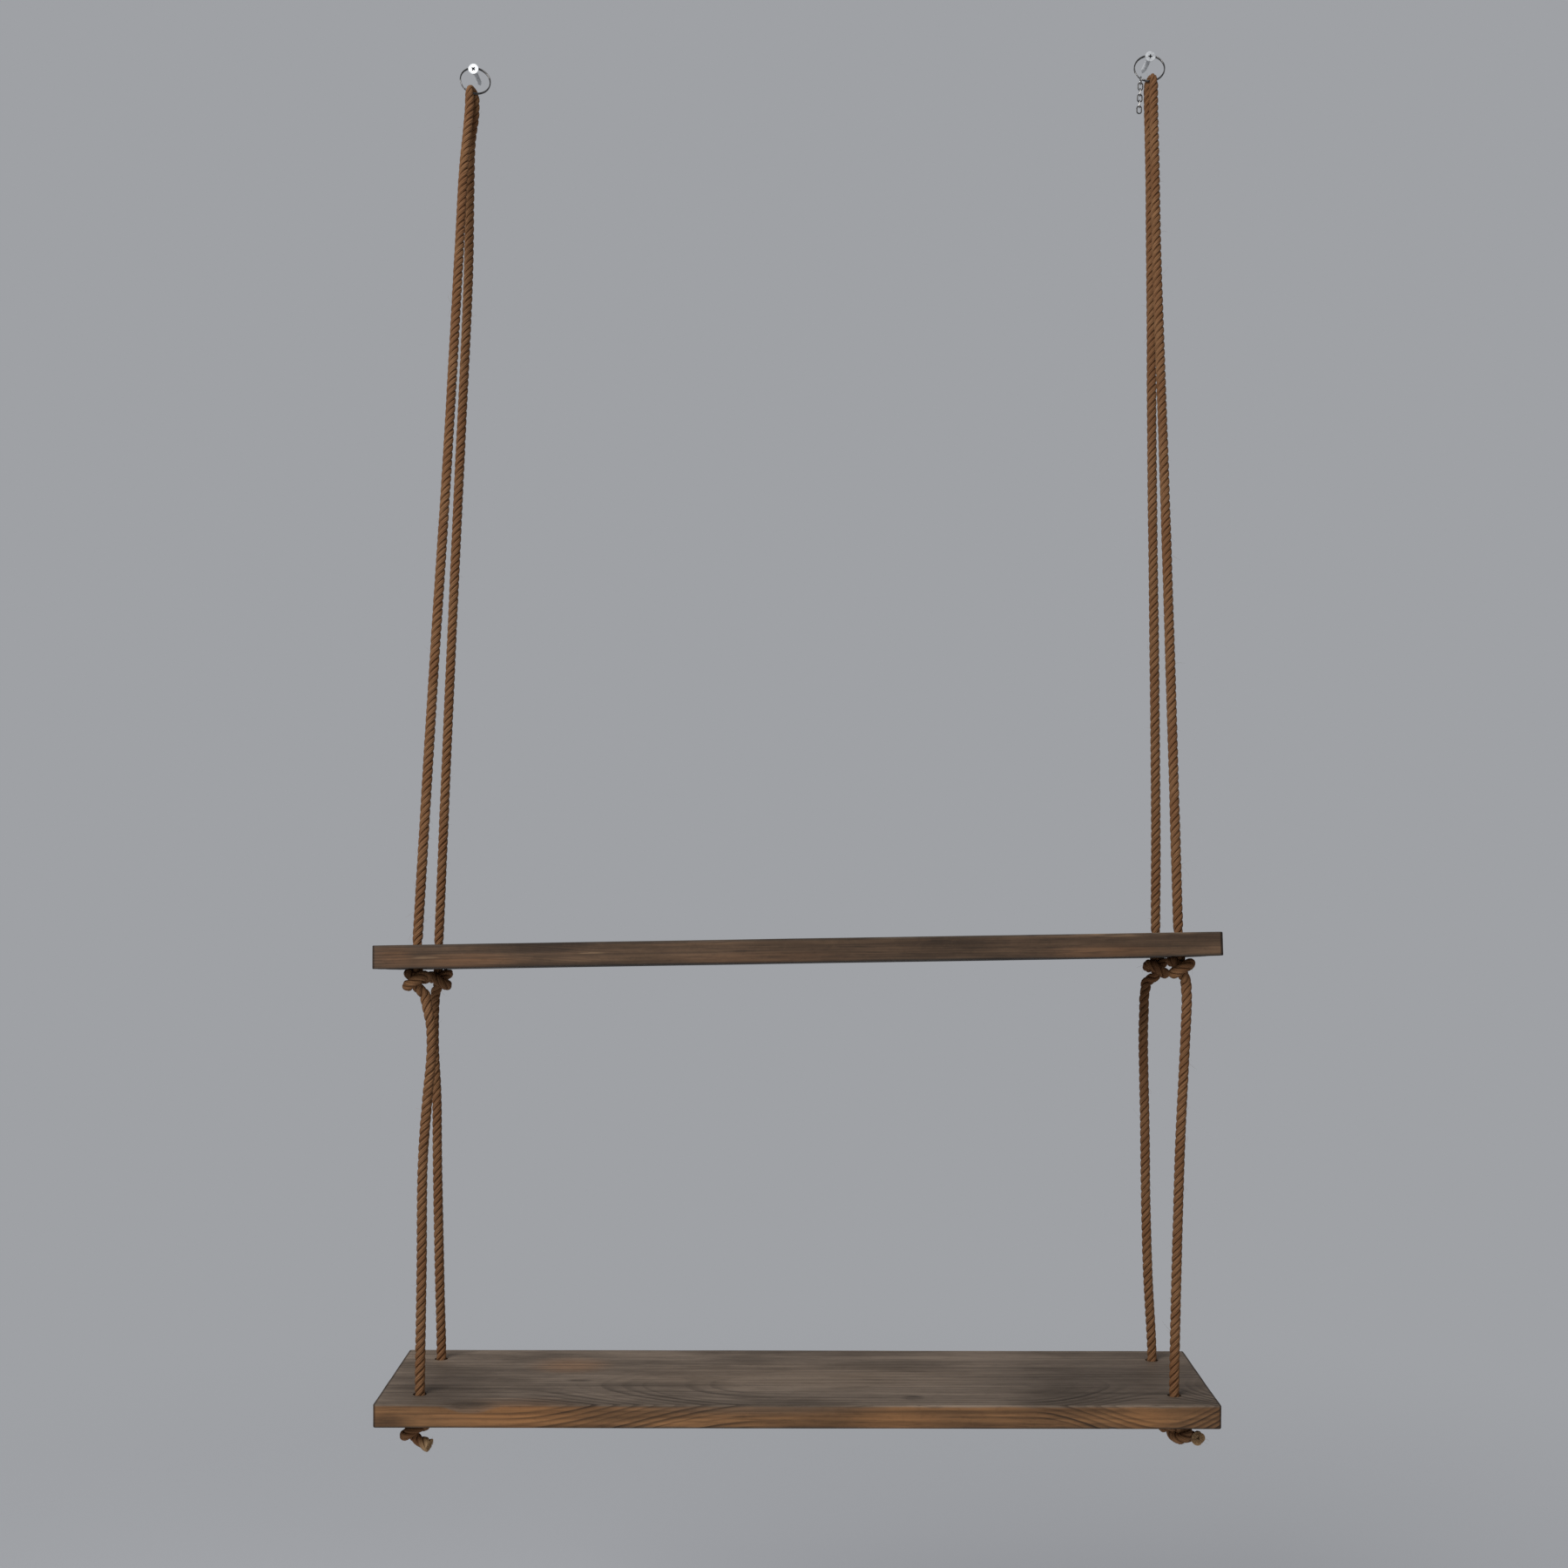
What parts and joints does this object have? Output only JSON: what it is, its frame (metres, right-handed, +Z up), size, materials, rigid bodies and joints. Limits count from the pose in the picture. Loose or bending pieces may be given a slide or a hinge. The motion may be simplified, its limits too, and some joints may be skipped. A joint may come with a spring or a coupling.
{
  "type": "hanging rope shelf",
  "caption": "Two-tier hanging shelf of stained wooden boards on doubled jute ropes, knotted under each board and hung from wall screws by steel split rings.",
  "frame": {"origin": "on the wall face, above the middle of the boards' length, at the height of the right screw's axis", "axes": "+X to the right as seen from the room, +Y into the wall, +Z up"},
  "size_m": [0.6002, 0.1864, 1.0472],
  "materials": {
    "board_wood": "brown stained softwood, worn, low sheen",
    "jute_rope": "three-strand twisted jute, hairy, matt",
    "zinc_steel": "bright zinc plated",
    "dark_steel": "tarnished nickel plated spring steel",
    "bright_chain": "nickel plated"
  },
  "bodies": {
    "wall_fixing": {"left_wall_screw": "zinc_steel", "right_wall_screw": "zinc_steel"},
    "left_ring": {"left_split_ring": "dark_steel"},
    "right_ring": {"right_split_ring": "dark_steel"},
    "left_upper_rope": {"left_upper_rope": "jute_rope"},
    "right_upper_rope": {"right_upper_rope": "jute_rope"},
    "upper_knots": {"left_front_upper_knot": "jute_rope", "left_rear_upper_knot": "jute_rope", "right_front_upper_knot": "jute_rope", "right_rear_upper_knot": "jute_rope"},
    "upper_shelf": {"upper_shelf_board": "board_wood"},
    "left_lower_ropes": {"left_front_lower_rope": "jute_rope", "left_rear_lower_rope": "jute_rope"},
    "right_lower_ropes": {"right_front_lower_rope": "jute_rope", "right_rear_lower_rope": "jute_rope"},
    "lower_knots": {"left_front_lower_knot": "jute_rope", "left_rear_lower_knot": "jute_rope", "right_front_lower_knot": "jute_rope", "right_rear_lower_knot": "jute_rope"},
    "lower_shelf": {"lower_shelf_board": "board_wood"},
    "key_chain": {"key_chain_jump_ring": "bright_chain", "key_chain_link_1": "bright_chain", "key_chain_link_2": "bright_chain", "key_chain_link_3": "bright_chain", "key_chain_link_4": "bright_chain", "key_chain_link_5": "bright_chain"}
  },
  "joints": [
    {"name": "left_ring_swing", "type": "hinge", "parent": "wall_fixing", "child": "left_ring", "pos_m": [-0.2497, -0.00276, -0.0084], "axis": [-0.9998, -0.0022, -0.0199], "range_deg": [0, 12]},
    {"name": "right_ring_swing", "type": "hinge", "parent": "wall_fixing", "child": "right_ring", "pos_m": [0.2721, -0.00164, 0.002], "axis": [-0.9998, -0.0022, -0.0199], "range_deg": [-1, 13]},
    {"name": "left_upper_sway", "type": "hinge", "parent": "left_ring", "child": "left_upper_rope", "pos_m": [-0.2497, -0.00633, -0.01825], "axis": [0, -1, 0], "range_deg": [-5, 5]},
    {"name": "right_upper_sway", "type": "hinge", "parent": "right_ring", "child": "right_upper_rope", "pos_m": [0.2721, -0.00521, -0.00785], "axis": [0, -1, 0], "range_deg": [-5.5, 5.5]},
    {"name": "upper_knots_level", "type": "hinge", "parent": "left_upper_rope", "child": "upper_knots", "pos_m": [-0.27296, -0.0809, -0.69095], "axis": [0, -1, 0], "range_deg": [-5.5, 5.5]},
    {"name": "upper_shelf_lift", "type": "slide", "parent": "upper_knots", "child": "upper_shelf", "axis": [-0.0175, 0.0871, 0.996], "range_m": [0, 0.004]},
    {"name": "left_lower_sway", "type": "hinge", "parent": "upper_knots", "child": "left_lower_ropes", "pos_m": [-0.2707, -0.08, -0.7225], "axis": [0, -1, 0], "range_deg": [-3, 3]},
    {"name": "right_lower_sway", "type": "hinge", "parent": "upper_knots", "child": "right_lower_ropes", "pos_m": [0.2712, -0.08, -0.7136], "axis": [0, -1, 0], "range_deg": [-4, 4]},
    {"name": "lower_knots_level", "type": "hinge", "parent": "left_lower_ropes", "child": "lower_knots", "pos_m": [-0.271, -0.075, -1.0095], "axis": [0, -1, 0], "range_deg": [-4, 4]},
    {"name": "lower_shelf_lift", "type": "slide", "parent": "lower_knots", "child": "lower_shelf", "axis": [0, 0, 1], "range_m": [0, 0.008]},
    {"name": "key_chain_swing", "type": "hinge", "parent": "right_ring", "child": "key_chain", "pos_m": [0.26497, -0.00757, -0.01662], "axis": [0, 1, 0], "range_deg": [0, 40]}
  ],
  "couplings": [
    {"joint": "right_ring_swing", "follows": "left_ring_swing", "ratio": 1},
    {"joint": "right_upper_sway", "follows": "left_upper_sway", "ratio": 0.99803},
    {"joint": "upper_knots_level", "follows": "left_upper_sway", "ratio": -0.95583},
    {"joint": "right_lower_sway", "follows": "left_lower_sway", "ratio": 0.96992},
    {"joint": "lower_knots_level", "follows": "left_lower_sway", "ratio": -0.9998}
  ]
}
